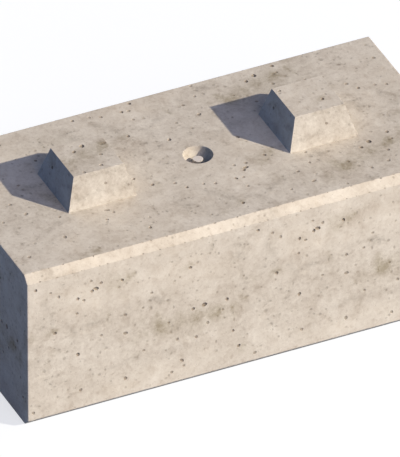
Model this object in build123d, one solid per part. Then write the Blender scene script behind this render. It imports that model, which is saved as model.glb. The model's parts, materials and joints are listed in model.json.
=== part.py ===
from build123d import *
import os

# Interlocking precast concrete block, in millimetres.
# The origin is the centre of the underside, on the floor. +Z points up, +X runs along
# the length, and -Y is the front face.

# Body of the block
block_length = 1600.0
block_width = 800.0
block_height = 600.0
# 45 degree chamfer along the four long edges
long_edge_chamfer = 26.0

# Studs: truncated pyramids on top. Half a block length apart, so that a block laid
# half over its neighbour still finds both studs.
stud_pitch = block_length / 2
stud_base_side = 246.0
stud_top_side = 180.0
stud_height = 115.0
# Small rounding that the mould leaves along the stud's corners and top edges
stud_edge_radius = 2.0

# Sockets underneath take the studs of the course below, with this much room
# at each side and above the stud.
socket_side_clearance = 10.0
socket_depth_clearance = 10.0

# Bowl recess in the middle of the top, where the lifting clutch closes round the anchor
bowl_mouth_diameter = 100.0
bowl_depth = 46.0

# Spherical head lifting anchor, cast in upright at the middle of the block
anchor_head_depth = 16.0
anchor_length = 240.0
anchor_head_diameter = 36.0
anchor_head_thickness = 9.0
anchor_head_edge_radius = 2.5
anchor_shaft_diameter = 20.0
anchor_neck_radius = 4.0
anchor_foot_diameter = 50.0
anchor_foot_thickness = 7.0
anchor_foot_cone_height = 11.0


def truncated_pyramid(base_side, top_side, height, base_z):
    """A square pyramid cut off flat, standing on the height base_z."""
    wide_end = Plane.XY.offset(base_z) * Rectangle(base_side, base_side)
    narrow_end = Plane.XY.offset(base_z + height) * Rectangle(top_side, top_side)
    return loft([wide_end.face(), narrow_end.face()])


def block_body():
    """The chamfered section, carried along the block's length."""
    section = Rectangle(block_width, block_height)
    section = chamfer(section.vertices(), long_edge_chamfer)
    section_plane = Plane(origin=(0, 0, block_height / 2), x_dir=(0, 1, 0), z_dir=(1, 0, 0))
    return extrude(section_plane * section, amount=block_length / 2, both=True)


def stud():
    """One stud, standing on the top face at the block's middle, edges rounded."""
    pyramid = truncated_pyramid(stud_base_side, stud_top_side, stud_height, block_height)
    base_edges = pyramid.edges().group_by(Axis.Z)[0]
    free_edges = [edge for edge in pyramid.edges() if edge not in base_edges]
    return fillet(free_edges, stud_edge_radius)


def socket():
    """The room that one stud of the course below needs, open at the underside."""
    return truncated_pyramid(
        stud_base_side + 2 * socket_side_clearance,
        stud_top_side + 2 * socket_side_clearance,
        stud_height + socket_depth_clearance,
        0,
    )


def bowl():
    """The ball that cuts the recess: its mouth circle lies in the top face."""
    mouth_radius = bowl_mouth_diameter / 2
    ball_radius = (mouth_radius**2 + bowl_depth**2) / (2 * bowl_depth)
    ball_centre_z = block_height - bowl_depth + ball_radius
    return Pos(0, 0, ball_centre_z) * Sphere(ball_radius)


def lifting_anchor():
    """Round head, neck flaring into it, straight shaft and a coned foot, all turned."""
    head_radius = anchor_head_diameter / 2
    shaft_radius = anchor_shaft_diameter / 2
    foot_radius = anchor_foot_diameter / 2
    head_top = block_height - anchor_head_depth
    head_bottom = head_top - anchor_head_thickness
    foot_bottom = head_top - anchor_length
    foot_rim_top = foot_bottom + anchor_foot_thickness
    outline = Polyline(
        (0, 0, foot_bottom),
        (foot_radius, 0, foot_bottom),
        (foot_radius, 0, foot_rim_top),
        (shaft_radius, 0, foot_rim_top + anchor_foot_cone_height),
        (shaft_radius, 0, head_bottom),
        (head_radius, 0, head_bottom),
        (head_radius, 0, head_top),
        (0, 0, head_top),
        close=True,
    )
    turned = revolve(make_face(outline), Axis.Z)
    circles = turned.edges().filter_by(GeomType.CIRCLE)
    head_rims = [
        edge
        for edge in circles
        if abs(edge.radius - head_radius) < 0.01 and edge.center().Z > head_bottom - 0.01
    ]
    turned = fillet(head_rims, anchor_head_edge_radius)
    neck_corner = [
        edge
        for edge in turned.edges().filter_by(GeomType.CIRCLE)
        if abs(edge.radius - shaft_radius) < 0.01 and abs(edge.center().Z - head_bottom) < 0.01
    ]
    return fillet(neck_corner, anchor_neck_radius)


def concrete_block(anchor):
    """The whole casting, with the anchor's own shape left out where it is cast in."""
    body = block_body()
    for side in (-1, 1):
        place = Pos(side * stud_pitch / 2, 0, 0)
        body += place * stud()
        body -= place * socket()
    body -= bowl()
    return body - anchor


def main():
    """Build both pieces and write one file for each."""
    anchor = lifting_anchor()
    pieces = {
        "lifting_anchor": anchor,
        "concrete_block": concrete_block(anchor),
    }
    os.makedirs("parts", exist_ok=True)
    for name, piece in pieces.items():
        piece.label = name
        export_step(piece, f"parts/{name}.step")


main()
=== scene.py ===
"""Looks of an interlocking precast concrete block.

The casting is one closed mesh: a chamfered bar with two studs, two sockets and the anchor's
bowl, into which the mould's air pores and small chips are cut. Stains and smudges follow the
same cast pattern as the pores. The lifting anchor keeps its own mesh and gets a dusty steel
finish. Lengths are in metres. The cast pattern alone is noted in millimetres.
"""
import json
import logging
import math
from dataclasses import astuple, dataclass, field
from enum import Enum
from itertools import product

import bpy
import numpy as np
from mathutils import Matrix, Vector


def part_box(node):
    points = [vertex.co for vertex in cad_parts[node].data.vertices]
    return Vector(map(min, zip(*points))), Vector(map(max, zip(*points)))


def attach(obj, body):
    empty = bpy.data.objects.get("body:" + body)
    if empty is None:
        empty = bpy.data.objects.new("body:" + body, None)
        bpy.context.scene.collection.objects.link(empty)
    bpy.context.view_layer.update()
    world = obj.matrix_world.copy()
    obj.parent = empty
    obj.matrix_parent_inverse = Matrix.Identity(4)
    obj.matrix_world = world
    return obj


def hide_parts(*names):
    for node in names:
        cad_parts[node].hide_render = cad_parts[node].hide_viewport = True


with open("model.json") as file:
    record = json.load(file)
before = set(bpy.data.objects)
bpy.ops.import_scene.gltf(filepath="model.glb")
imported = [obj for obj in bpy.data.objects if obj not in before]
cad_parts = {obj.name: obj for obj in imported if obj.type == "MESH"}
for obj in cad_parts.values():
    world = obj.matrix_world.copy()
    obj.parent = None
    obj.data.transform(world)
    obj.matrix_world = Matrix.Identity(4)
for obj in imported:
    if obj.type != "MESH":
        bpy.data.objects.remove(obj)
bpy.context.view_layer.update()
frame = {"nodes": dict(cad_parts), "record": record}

LOG = logging.getLogger("concrete_block")
MM = 0.001
USUAL_SPOT = 10 * MM
ARC_POINTS = 4
RIGHT, BACK, UP = np.eye(3)
SQUARE = np.array([(-1, -1), (1, -1), (1, 1), (-1, 1)])

Span = tuple[float, float]
Ramp = tuple[Span, Span]
Colour = tuple[float, float, float]
Point = tuple[float, float, float]
Rows = tuple[tuple[float, ...], ...]
Socket = bpy.types.NodeSocket
Value = Socket | float | Colour


class Grade(Enum):
    """How deep and dark an air pore is.

    Attributes:
        rings: Rings of corners below the mouth.
        sides: Corners in each ring.
        mouth_share: Width of the open mouth as a share of the dark spot that it makes.
        depth_share: Depth as a share of the mouth's mean width.
        dirt_and_shade: How dark the pore is painted, from 0 to 1: dirt, and painted shade in place of a
            deeper pore's shadow.
    """

    DEEP = (3, 10, 1.26, 0.25, 0.68)
    DARK = (2, 8, 1.26, 0.16, 0.56)
    MEDIUM = (1, 7, 1.24, 0.10, 0.44)
    FAINT = (1, 6, 1.24, 0.06, 0.33)

    def __init__(self, rings: int, sides: int, mouth: float, depth: float, dirt_and_shade: float) -> None:
        """Names a grade's numbers."""
        self.rings, self.sides, self.dirt_and_shade = rings, sides, dirt_and_shade
        self.mouth_share, self.depth_share = mouth, depth

    @property
    def usual_depth(self) -> float:
        """Depth of a pore whose dark spot has the usual width."""
        return USUAL_SPOT * self.mouth_share * self.depth_share

    @property
    def slot(self) -> int:
        """Material slot that marks the pores' faces until they are painted."""
        return list(Grade).index(self) + 1


class Tint(Enum):
    """What a stain is made of. The value is its channel in the stain attribute."""

    OLIVE = 0
    GREY = 1
    PALE = 2


PORES: dict[Grade, Rows] = {
    Grade.DEEP: (
        (31, 30.5, 10), (99, 222.5, 11), (233, 93, 11), (586, 106, 10), (181, 332, 12),
        (596, 275.5, 11), (637, 270, 15), (719, 273, 11), (741, 407, 9), (761, 473.5, 11),
        (181.5, 109, 9, 11), (247, 87, 17.5, 12, 20), (341, 81, 12, 8.5, 50),
    ),
    Grade.DARK: (
        (203, 121, 10), (352, 225, 10), (415, 216, 9), (649, 347, 11), (607, 391, 11), (190, 478, 11),
        (20, 520, 11), (518, 507, 10), (265, 281, 9), (779, 197, 7.5), (83.5, 56.5, 9), (178, 167, 9),
        (229, 52, 9), (418, 388, 9), (703, 310, 9), (562.5, 493.5, 9), (265, 70, 10, 11),
        (447, 165.5, 11, 8), (113, 81, 9, 11), (509, 304, 7.5, 8), (539, 380.5, 9, 11),
        (352, 299, 15, 11), (351, 480, 11, 14), (555, 470, 17, 9, 45),
    ),
    Grade.MEDIUM: (
        (207.5, 186, 10.5), (59, 153, 8), (43, 262, 8), (95, 248, 8), (397, 109, 8), (330, 107, 10),
        (356, 99, 8), (437.5, 104, 9), (520, 64, 9), (587, 61, 8), (625.5, 64.5, 10), (612, 92.5, 10.5),
        (657.5, 71, 9), (676, 72, 7), (530, 142.5, 9), (548, 134, 8), (609, 205, 9), (613, 167, 8),
        (682.5, 235, 9), (746, 154, 8), (781, 71, 8), (793, 76, 8), (779, 131, 10), (777.5, 251, 9),
        (385, 277, 9), (281, 338, 12), (88, 393, 8), (223, 407, 9), (256, 437, 11.5), (106, 481, 9),
        (143, 464, 9), (516, 344, 11), (709, 345.5, 9), (792, 437, 9), (508, 517, 10.5),
        (690, 309, 11.5), (297, 209, 8), (389, 67, 8, 13), (668, 40, 7, 12), (688, 80, 7, 13),
        (525, 247, 8, 14), (96, 283, 9, 6), (142, 309, 8, 10), (76, 329, 11, 8), (80, 422, 13, 8, 45),
        (497.5, 413, 8, 10), (679, 432.5, 8, 12), (441, 195, 14.5, 9, 50), (444.5, 226, 8, 14),
        (504, 214, 12, 10), (790, 284, 18, 8), (745, 137, 10, 6),
    ),
    Grade.FAINT: (
        (118, 134, 7), (208, 57, 10.5), (258, 33, 7), (194, 87, 6), (367, 45, 8), (336, 224, 10),
        (190, 234, 8), (82, 179, 6), (57, 186, 10), (101, 172, 6.5), (69, 78, 9.5), (169, 10, 7),
        (475, 24.5, 8), (547, 54, 7), (607, 56, 7), (654, 26, 7), (665, 58, 7), (414, 107, 8),
        (534, 192.5, 6), (584.5, 189, 7), (565, 199, 6), (594, 166, 8), (659, 146, 10), (612, 247, 8),
        (604, 240, 6), (585, 256, 8), (789, 211, 12), (760, 39, 9), (767, 69, 8), (749, 232, 8),
        (260, 297, 11.5), (234, 289, 8), (114, 293, 10), (37, 317, 9), (27, 304, 8), (131, 333, 12),
        (59, 363, 14), (37, 374, 7), (110, 393, 10), (154, 394, 7), (84, 445, 7), (278, 423, 9),
        (234, 429, 8), (275, 450, 7), (171, 465, 7), (145, 494, 9), (390, 499, 8), (352, 518, 10),
        (12, 489, 8), (333, 347, 8), (251, 362, 7), (189, 363, 8), (320, 283, 8), (644, 387, 10),
        (517, 430.5, 9), (507.5, 450.5, 9.5), (780, 447, 8), (784, 480, 10), (481, 280, 8),
        (430, 355, 10), (521, 322, 11), (467, 320, 6.5), (685, 332, 6.5), (130, 36, 12, 6),
        (599, 99, 8, 5), (677, 26, 12, 6), (509, 112, 8, 12), (710, 172, 10, 6), (158, 282, 8, 12),
        (60, 337, 10, 6), (287, 225, 8, 14), (65, 399, 14, 6), (96, 437, 12, 6), (136, 428, 10, 6),
        (299, 477, 7, 9), (41, 499, 12, 6), (260, 350, 8, 10), (636, 450, 7, 10), (497, 526, 12, 7),
        (682, 470.5, 7, 12), (456, 358, 10, 6), (676, 388, 12, 6), (744, 362, 6, 16), (740, 335, 6, 10),
        (540, 337, 10, 14),
    ),
}

STAINS: dict[Tint, Rows] = {
    Tint.OLIVE: (
        (478, 320, 17, 17, 0.85), (470, 288, 17, 24, 0.8), (468, 262, 10, 10, 0.5),
        (495, 318, 15, 21, 0.6), (540, 320, 25, 19, 0.15), (512, 300, 11, 10, 0.55),
        (556, 305, 10, 15, 0.55), (545, 280, 15, 11, 0.4), (598, 316, 12, 15, 0.2),
        (618, 314, 12, 15, 0.12), (610, 300, 30, 26, 0.35), (662, 326, 14, 8, 0.5),
        (692, 308, 12, 12, 0.65), (680, 310, 26, 22, 0.55), (690, 328, 9, 9, 0.6),
        (740, 312, 8, 12, 0.75), (744, 335, 7, 12, 0.45), (753, 303, 8, 9, 0.6),
        (744, 358, 5, 12, 0.35), (785, 288, 13, 8, 0.5), (768, 276, 14, 10, 0.3),
        (710, 346, 8, 7, 0.35), (415, 268, 11, 22, 0.3), (404, 320, 9, 12, 0.4),
        (425, 330, 9, 18, 0.3, -20), (385, 346, 8, 14, 0.45, -25), (412, 345, 8, 10, 0.2),
        (590, 370, 12, 16, 0.2), (622, 366, 14, 16, 0.2), (560, 374, 9, 8, 0.25),
        (640, 325, 130, 36, 0.25), (500, 325, 50, 36, 0.25), (363, 82, 11, 16, 0.85, 35),
        (384, 68, 9, 9, 0.6), (322, 107, 18, 7, 0.6, -8), (303, 92, 14, 20, 0.3),
        (335, 66, 36, 16, 0.3), (335, 84, 12, 10, 0.4), (287, 60, 6, 55, 0.2), (290, 205, 8, 20, 0.35),
        (295, 232, 8, 8, 0.35), (94, 212, 18, 10, 0.6), (75, 222, 10, 8, 0.45), (108, 214, 9, 10, 0.4),
        (16, 220, 18, 10, 0.45), (583, 100, 12, 12, 0.4), (562, 106, 18, 6, 0.35),
        (590, 92, 10, 6, 0.3), (770, 492, 12, 16, 0.5), (778, 475, 8, 12, 0.4),
    ),
    Tint.GREY: (
        (66, 108, 15, 18, 0.4), (62, 90, 8, 12, 0.25), (60, 150, 12, 12, 0.25), (86, 140, 13, 22, 0.3),
        (92, 180, 12, 26, 0.3), (55, 182, 14, 20, 0.2), (50, 190, 70, 45, 0.12), (138, 204, 14, 6, 0.3),
        (160, 228, 24, 7, 0.35, 50), (228, 223, 22, 7, 0.5), (200, 234, 20, 7, 0.25),
        (270, 222, 45, 12, 0.2), (365, 196, 7, 10, 0.4), (353, 224, 12, 7, 0.3),
        (460, 188, 15, 6, 0.45), (476, 205, 15, 9, 0.65), (503, 213, 8, 7, 0.35),
        (442, 193, 11, 9, 0.35), (445, 225, 7, 9, 0.3), (401, 190, 9, 5, 0.25),
        (455, 195, 45, 25, 0.15), (163, 272, 16, 26, 0.18), (110, 290, 14, 7, 0.4, 30),
        (44, 310, 17, 6, 0.35, -40), (75, 328, 13, 7, 0.35), (136, 335, 17, 7, 0.35, -20),
        (144, 312, 10, 8, 0.3), (20, 330, 30, 12, 0.15), (273, 330, 13, 6, 0.35, 60),
        (254, 357, 6, 15, 0.3, 25), (60, 361, 10, 8, 0.3), (101, 395, 12, 8, 0.3),
        (73, 401, 14, 6, 0.3), (82, 424, 19, 7, 0.45, 35), (135, 424, 20, 6, 0.2, 45),
        (205, 362, 10, 8, 0.2), (225, 411, 9, 7, 0.3), (232, 426, 11, 6, 0.3, 45),
        (320, 420, 30, 8, 0.25), (356, 410, 18, 7, 0.25), (391, 409, 15, 11, 0.35),
        (430, 415, 35, 18, 0.15), (495, 412, 8, 10, 0.35), (505, 425, 30, 20, 0.15),
        (545, 415, 32, 20, 0.14), (280, 424, 8, 6, 0.2), (298, 472, 6, 14, 0.2),
        (226, 470, 28, 18, 0.14), (155, 484, 6, 22, 0.2, 30), (15, 486, 11, 8, 0.2),
        (38, 498, 13, 6, 0.3), (65, 514, 12, 6, 0.3), (683, 468, 8, 9, 0.2), (776, 430, 14, 36, 0.22),
        (762, 108, 14, 12, 0.5), (779, 131, 12, 8, 0.3), (742, 124, 9, 11, 0.25),
        (772, 71, 26, 6, 0.3, 10), (779, 40, 14, 8, 0.25), (748, 52, 12, 12, 0.15),
        (765, 90, 30, 40, 0.12), (665, 46, 6, 26, 0.35, 25), (688, 80, 6, 6, 0.25),
        (475, 24, 11, 6, 0.25, -30), (540, 62, 14, 7, 0.2), (126, 38, 12, 6, 0.25, 25),
        (775, 190, 6, 40, 0.25, -15), (782, 240, 14, 32, 0.25), (30, 262, 14, 10, 0.15),
        (400, 300, 420, 62, 0.1),
    ),
    Tint.PALE: (
        (178, 80, 60, 28, 0.3), (215, 140, 55, 30, 0.3), (251, 150, 14, 22, 0.35),
        (150, 150, 14, 14, 0.25), (200, 246, 16, 7, 0.45), (350, 160, 32, 14, 0.2),
        (46, 386, 12, 12, 0.35), (571, 392, 12, 10, 0.4), (640, 232, 40, 14, 0.3),
        (640, 140, 90, 45, 0.2), (766, 180, 4, 9, 0.7, 20), (340, 512, 60, 22, 0.4),
        (560, 512, 70, 14, 0.25), (470, 478, 45, 22, 0.2), (640, 462, 30, 20, 0.25),
        (352, 316, 14, 8, 0.35), (330, 25, 35, 18, 0.3), (530, 20, 90, 16, 0.3), (600, 72, 55, 22, 0.2),
        (160, 20, 32, 14, 0.2), (32, 72, 12, 16, 0.3), (500, 90, 60, 40, 0.2), (670, 400, 50, 20, 0.12),
        (400, 0, 420, 55, 0.18), (400, 112, 420, 72, 0.22), (400, 470, 420, 30, 0.1),
    ),
}


@dataclass(frozen=True)
class CastPattern:
    """The pores and stains of the casting, which repeat along and down each face.

    Attributes:
        width: Length of one repeat along the pattern, in millimetres.
        height: Length of one repeat down the pattern, in millimetres.
        pores: Rows of (across, down, width, height, turn), in millimetres and degrees.
            The size is the dark spot's. A round pore's row ends with its width, and a
            row without a turn lies square to the pattern.
        stains: Rows of (across, down, reach, drop, strength, turn). At the reach and the
            drop the stain has faded to a third. The turn may be missing here too.
    """

    width: float = 799.4
    height: float = 533.1
    pores: dict[Grade, Rows] = field(default_factory=PORES.copy)
    stains: dict[Tint, Rows] = field(default_factory=STAINS.copy)

    def mouths(self, grade: Grade) -> np.ndarray:
        """Works out the mouths of one grade's pores, in millimetres and radians.

        Args:
            grade: The grade.

        Returns:
            Rows of (across, down, half width, half height, turn).
        """
        rows = self.pores[grade]
        full = [(*row, row[2], 0) if len(row) == 3 else (*row, 0)[:5] for row in rows]
        half = grade.mouth_share / 2
        return np.array(full) * (1, 1, half, half, math.radians(1))

    def stain_amounts(self, places: np.ndarray) -> np.ndarray:
        """Adds up the stains at places on the pattern.

        Each stain is a bell curve: e to the power of minus the squared distance from its
        middle, where the distance is a share of its reach and drop. Distances wrap round,
        so the pattern repeats without a seam.

        Args:
            places: Rows of (across, down), in millimetres.

        Returns:
            Rows of olive, grey and pale amounts.
        """
        amounts = np.zeros((len(places), len(Tint)))
        half = np.array([self.width, self.height]) / 2
        for tint, rows in self.stains.items():
            for across, down, reach, drop, strength, *turns in rows:
                offset = (places - (across, down) + half) % (2 * half) - half
                turn = math.radians(sum(turns))
                level = offset @ (math.cos(turn), math.sin(turn)) / reach
                upright = offset @ (-math.sin(turn), math.cos(turn)) / drop
                amounts[:, tint.value] += strength * np.exp(-(level**2) - upright**2)
        return np.clip(amounts, 0.0, 1.0)


@dataclass(frozen=True)
class BlockSizes:
    """Sizes of the block. Those that the frame states are read from it."""

    length: float
    width: float
    body_height: float
    stud_top: float
    stud_pitch: float
    socket_depth: float
    long_edge_chamfer: float = 0.026
    arris_radius: float = 0.003
    stud_base_side: float = 0.246
    stud_top_side: float = 0.180
    stud_edge_radius: float = 0.0006
    socket_clearance: float = 0.010
    bowl_mouth_diameter: float = 0.100
    bowl_depth: float = 0.046
    bowl_lip_radius: float = 0.0015

    @classmethod
    def from_frame(cls) -> "BlockSizes":
        """Reads the block's overall sizes from its node's box and its mounts.

        Returns:
            The block's sizes.
        """
        low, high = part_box("concrete_block")
        places = {mount["name"]: mount["pos_m"] for mount in frame["record"]["mounts"]}
        return cls(
            length=high.x - low.x,
            width=high.y - low.y,
            body_height=places["top_bearing_face"][2],
            stud_top=high.z,
            stud_pitch=places["right_stud"][0] - places["left_stud"][0],
            socket_depth=places["left_socket"][2],
        )

    @property
    def middles(self) -> Span:
        """Places along the block of the left and the right stud, and of their sockets."""
        return -self.stud_pitch / 2, self.stud_pitch / 2

    @property
    def stud_lean(self) -> float:
        """How far a stud's side leans in for each metre of height."""
        return (self.stud_base_side - self.stud_top_side) / 2 / (self.stud_top - self.body_height)


@dataclass(frozen=True)
class CastFace:
    """A flat face of the casting, and how the cast pattern lies on it.

    Attributes:
        name: Name of the face, for the log.
        corner: Point of the face's plane that the pattern is measured from.
        along: Direction of the pattern's rows, per metre of pattern.
        down: Direction of the pattern's columns, per metre of pattern.
        outline: Corners of the face in order.
        slide: Place on the pattern that lies at the corner, in metres along and down it.
        openings: Outlines of what stands on the face or opens into it.
        grades: The pores that the face shows.
        skin: Olive, grey and pale amounts besides the stains: grey painted shade on the studs' front,
            back and right sides, pale painted light on the upper front chamfer and a little grey on the
            level faces.
        painted_shade: How strong its bluish painted shade is, from 0 to 1.
    """

    name: str
    corner: Point | np.ndarray
    along: np.ndarray
    down: np.ndarray
    outline: np.ndarray
    slide: Span = (0.0, 0.0)
    openings: tuple[np.ndarray, ...] = ()
    grades: tuple[Grade, ...] = tuple(Grade)
    skin: Colour = (0.0, 0.0, 0.0)
    painted_shade: float = 0.0

    @property
    def origin(self) -> np.ndarray:
        """Point of the face's plane where the pattern starts."""
        return self.corner - self.slide[0] * self.along - self.slide[1] * self.down

    @property
    def outward(self) -> np.ndarray:
        """The face's outward direction: along and down, crossed, point into the casting."""
        inward = np.cross(self.along, self.down)
        return -inward / np.linalg.norm(inward)

    def points(self, places: np.ndarray) -> np.ndarray:
        """Points on the face for rows of (across, down), in millimetres."""
        return self.origin + MM * places @ np.stack([self.along, self.down])

    def places(self, points: np.ndarray) -> np.ndarray:
        """Rows of (across, down) in millimetres for points near the face."""
        ways = np.stack([self.along, self.down], axis=1)
        return np.linalg.lstsq(ways, (points - self.origin).T, rcond=None)[0].T / MM

    def heights(self, points: np.ndarray) -> np.ndarray:
        """Heights of points above the face."""
        return (points - self.origin) @ self.outward

    def margins(self, points: np.ndarray, outline: np.ndarray) -> np.ndarray:
        """Measures how far points lie inside an outline on this face.

        For each side of the outline the distance is taken square to that side, and the
        least of them counts. It is below zero outside.

        Args:
            points: Points near the face.
            outline: Corners of a convex outline in order.

        Returns:
            One distance for each point.
        """
        inward = np.cross(self.outward, np.roll(outline, -1, axis=0) - outline)
        inward /= np.linalg.norm(inward, axis=1, keepdims=True)
        middle = outline.mean(axis=0)
        inward *= np.sign(np.sum((middle - outline) * inward, axis=1, keepdims=True))
        return np.min(points @ inward.T - np.sum(outline * inward, axis=1), axis=1)


@dataclass(frozen=True)
class FacePlan:
    """Lays out the flat faces with their cast pattern, and the arrises.

    The pattern starts at top_start on the top and on the studs' tops, turned by top_turn
    degrees, and at under_start on the underside, turned by under_turn. The ends and the
    back have slides. The chamfers' falls say how far down the pattern the outer edge of
    the upper and of the lower one lies. On a stud's front, left, back and right sides
    the pattern starts at the heights in stud_starts, moved by stud_shifts from the
    block's left end, its middle, its right end and its middle. Within bowl_reach of the
    bowl's middle there are no pores, and within end_gap of an arris's ends no chips. The
    studs' left sides and their other sides each get a grey and a bluish amount of
    painted shade, and the upper front chamfer a pale amount of painted light.
    """

    sizes: BlockSizes
    top_start: Span = (-0.1504, -0.1349)
    top_turn: float = 20.0
    under_start: Span = (0.37, 0.22)
    under_turn: float = 112.0
    left_slide: Span = (-0.0006, 0.0)
    right_slide: Span = (0.23, 0.34)
    back_slide: Span = (0.31, 0.21)
    front_falls: Span = (0.170, 0.548)
    back_falls: Span = (0.2, 0.4)
    stud_starts: tuple[float, ...] = (1.055, 0.890, 1.31, 1.27)
    stud_shifts: tuple[float, ...] = (0.0, 0.147, 0.17, -0.47)
    bowl_reach: float = 0.06
    level_grey: float = 0.04
    # Painted light that brightens the upper front chamfer.
    chamfer_painted_light: float = 0.05
    # Grey and bluish painted shade on the studs' left sides, then on their other sides.
    left_painted_shade: Span = (0.0, 1.0)
    stud_painted_shade: Span = (0.17, 0.14)
    end_gap: float = 0.02

    def square(self, middle: float, reach: float, height: float) -> np.ndarray:
        """Corners of a level square whose middle lies on the block's middle line."""
        return np.insert(reach * SQUARE + (middle, 0), 2, height, axis=1)

    def turned(self, degrees: float, side: int) -> tuple[np.ndarray, np.ndarray]:
        """The pattern's directions on the top, or with side -1 on the underside."""
        along = np.array([math.cos(math.radians(degrees)), math.sin(math.radians(degrees)), 0])
        return along, side * np.array([along[1], -along[0], 0])

    def band(self, low: float, high: float, near: float, far: float) -> np.ndarray:
        """Corners of a face as long as the block, from its low edge to its high edge."""
        x = self.sizes.length / 2
        return np.array([(-x, near, low), (x, near, low), (x, far, high), (-x, far, high)])

    def chamfers(self, side: int, start: float, falls: Span, pale: float) -> list[CastFace]:
        """Lists the upper and the lower chamfer of one long side.

        Args:
            side: -1 for the front and 1 for the back.
            start: Place along the block where their patterns start.
            falls: How far down its pattern the outer edge of each of them lies.
            pale: Pale amount of painted light on the upper one.

        Returns:
            The two chamfers.
        """
        cut, top = self.sizes.long_edge_chamfer, self.sizes.body_height
        outer = side * self.sizes.width / 2
        inner = outer - side * cut
        word = "front" if side < 0 else "back"
        upper, lower = (math.sqrt(0.5) * (way * side * BACK - UP) for way in (1, -1))
        # The upper one's pale amount is painted light.
        return [
            CastFace(
                word + "_top_chamfer", (start, outer, top - cut), -side * RIGHT, upper,
                self.band(top - cut, top, outer, inner), (0.0, falls[0]), skin=(0.0, 0.0, pale),
            ),
            CastFace(
                word + "_low_chamfer", (start, outer, cut), -side * RIGHT, lower,
                self.band(0, cut, inner, outer), (0.0, falls[1]),
            ),
        ]

    def stud(self, middle: float) -> list[CastFace]:
        """Lists the top and the four sides of one stud.

        Args:
            middle: The stud's place along the block.

        Returns:
            Its five faces.
        """
        sizes, lean = self.sizes, self.sizes.stud_lean
        x, low, high = sizes.length / 2, sizes.body_height, sizes.stud_top
        base, narrow = sizes.stud_base_side / 2, sizes.stud_top_side / 2
        made = [
            CastFace(
                "stud_top", (*self.top_start, high), *self.turned(self.top_turn, 1),
                self.square(middle, narrow, high), skin=(0.0, self.level_grey, 0.0),
            )
        ]
        ways = (RIGHT, -BACK, -RIGHT, BACK)
        places = np.add((-x, 0, x, 0), self.stud_shifts)
        for along, height, start in zip(ways, self.stud_starts, places):
            facing = np.cross(along, UP)
            foot = (middle, 0, low) + base * facing
            head = (middle, 0, high) + narrow * facing
            corners = [foot - base * along, foot + base * along]
            corners += [head + narrow * along, head - narrow * along]
            # Painted shade: the left sides, away from the sun, get a strong bluish darkening, the other
            # sides a slight grey and bluish one.
            grey, painted_shade = self.left_painted_shade if facing[0] < 0 else self.stud_painted_shade
            made.append(
                CastFace(
                    "stud_side", np.where(along == 0, foot, start), along, lean * facing - UP,
                    np.array(corners), (0.0, height - low), skin=(0.0, grey, 0.0), painted_shade=painted_shade,
                )
            )
        return made

    def faces(self) -> list[CastFace]:
        """Lists the flat faces and how the pattern lies on each.

        Returns:
            The faces, in the order in which their pores are drawn.
        """
        sizes, cut = self.sizes, self.sizes.long_edge_chamfer
        x, y, z = sizes.length / 2, sizes.width / 2, sizes.body_height
        low = [(-y, cut), (cut - y, 0), (y - cut, 0), (y, cut)]
        end = np.array(low + [(across, z - up) for across, up in reversed(low)])
        level = SQUARE * (x, y - cut)
        base = sizes.stud_base_side / 2
        studs = [self.square(middle, base, z) for middle in sizes.middles]
        sockets = [self.square(middle, base + sizes.socket_clearance, 0) for middle in sizes.middles]
        hidden = (Grade.DEEP, Grade.DARK, Grade.MEDIUM)
        made = [
            CastFace("front", (-x, -y, z - cut), RIGHT, -UP, self.band(cut, z - cut, -y, -y)),
            CastFace(
                "left_end", (-x, y, z - cut), -BACK, -UP, np.insert(end, 0, -x, axis=1), self.left_slide
            ),
            CastFace(
                "top", (*self.top_start, z), *self.turned(self.top_turn, 1),
                np.insert(level, 2, z, axis=1),
                openings=(*studs, self.square(0, self.bowl_reach, z)), skin=(0.0, self.level_grey, 0.0),
            ),
            *self.chamfers(-1, -x, self.front_falls, self.chamfer_painted_light),
            CastFace(
                "back", (x, y, z), -RIGHT, -UP, self.band(cut, z - cut, y, y), self.back_slide,
                grades=hidden,
            ),
            *self.chamfers(1, x + self.back_slide[0], self.back_falls, 0.0),
            CastFace(
                "right_end", (x, -y, z), BACK, -UP, np.insert(end, 0, x, axis=1), self.right_slide,
                grades=hidden,
            ),
            CastFace(
                "underside", (*self.under_start, 0), *self.turned(self.under_turn, -1),
                np.insert(level, 2, 0, axis=1), openings=tuple(sockets), grades=hidden[:2],
            ),
        ]
        return made + [face for middle in sizes.middles for face in self.stud(middle)]

    def arrises(self) -> list[tuple[np.ndarray, np.ndarray, np.ndarray]]:
        """Lists the edges of the upper chamfers.

        Returns:
            Start, end and outward direction of each edge.
        """
        sizes, cut = self.sizes, self.sizes.long_edge_chamfer
        reach = (sizes.length / 2 - self.end_gap, 0, 0)
        lines = []
        for side in (-1, 1):
            # The angle is halfway from the chamfer to the top, then to the long side.
            for inset, drop, rise in ((cut, 0.0, 3 * np.pi / 8), (0.0, cut, np.pi / 8)):
                place = np.array([0, side * (sizes.width / 2 - inset), sizes.body_height - drop])
                outward = np.array([0, side * np.cos(rise), np.sin(rise)])
                lines.append((place - reach, place + reach, outward))
        return lines


def linked(name: str, data: bpy.types.ID) -> bpy.types.Object:
    """Makes an object and links it to the scene.

    Args:
        name: Name of the object.
        data: Its mesh, lamp or camera.

    Returns:
        The new object.
    """
    made = bpy.data.objects.new(name, data)
    bpy.context.scene.collection.objects.link(made)
    return made


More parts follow.
